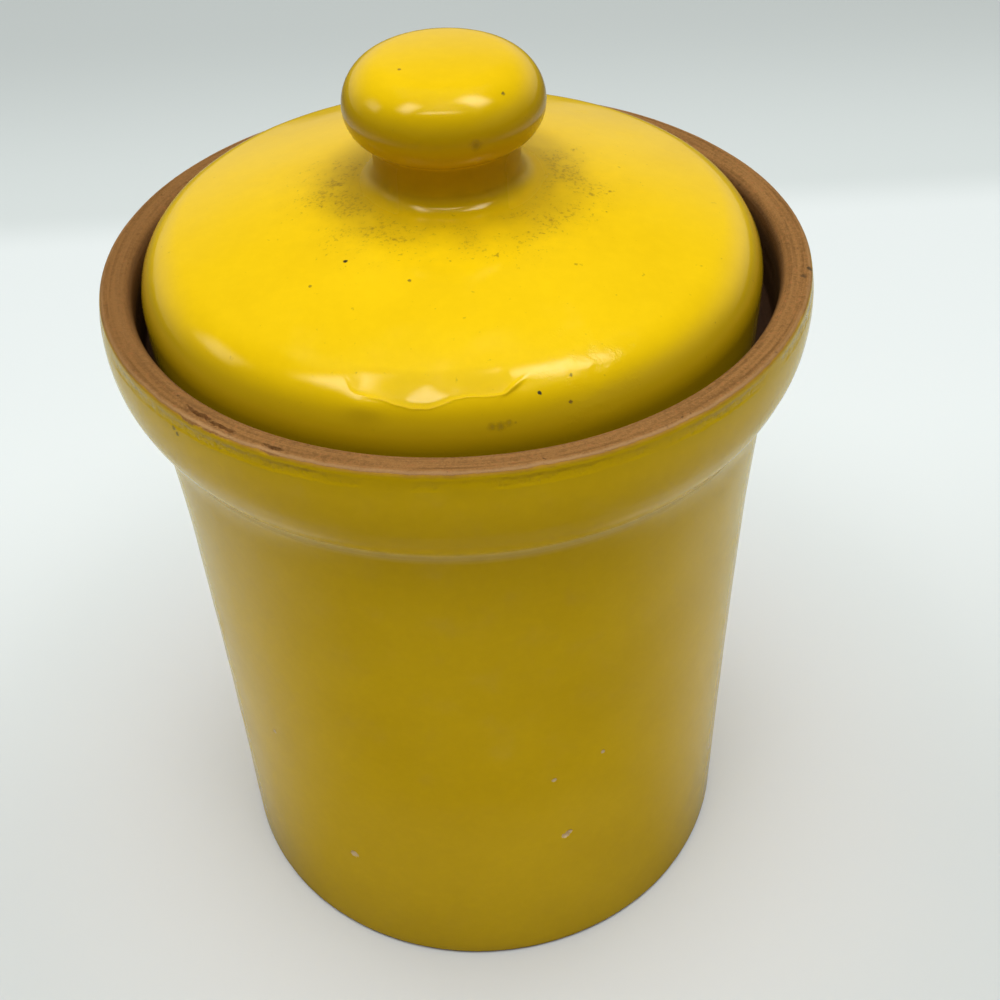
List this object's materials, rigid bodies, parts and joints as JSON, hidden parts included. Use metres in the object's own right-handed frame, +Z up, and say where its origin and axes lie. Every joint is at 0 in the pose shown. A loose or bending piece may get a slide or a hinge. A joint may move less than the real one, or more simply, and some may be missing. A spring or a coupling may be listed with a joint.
{
  "type": "storage canister",
  "caption": "Round glazed earthenware storage canister with a swollen collar, a bare clay rim and a domed lid that drops into the collar and lifts out by a mushroom knob.",
  "frame": {"origin": "centre of the resting face, on the canister's axis", "axes": "+Z up along the axis of the jar and the lid; the picture looks along +Y and down"},
  "size_m": [0.1516, 0.1516, 0.2181],
  "materials": {
    "yellow_glaze": "glossy yellow glaze over a red clay body, left bare on the rim, the seats and the foot"
  },
  "bodies": {
    "jar": {"jar": "yellow_glaze"},
    "lid": {"lid": "yellow_glaze", "lid_knob": "yellow_glaze"}
  },
  "joints": [
    {"name": "lid_lift", "type": "slide", "parent": "jar", "child": "lid", "axis": [0, 0, 1], "range_m": [0, 0.15]}
  ]
}
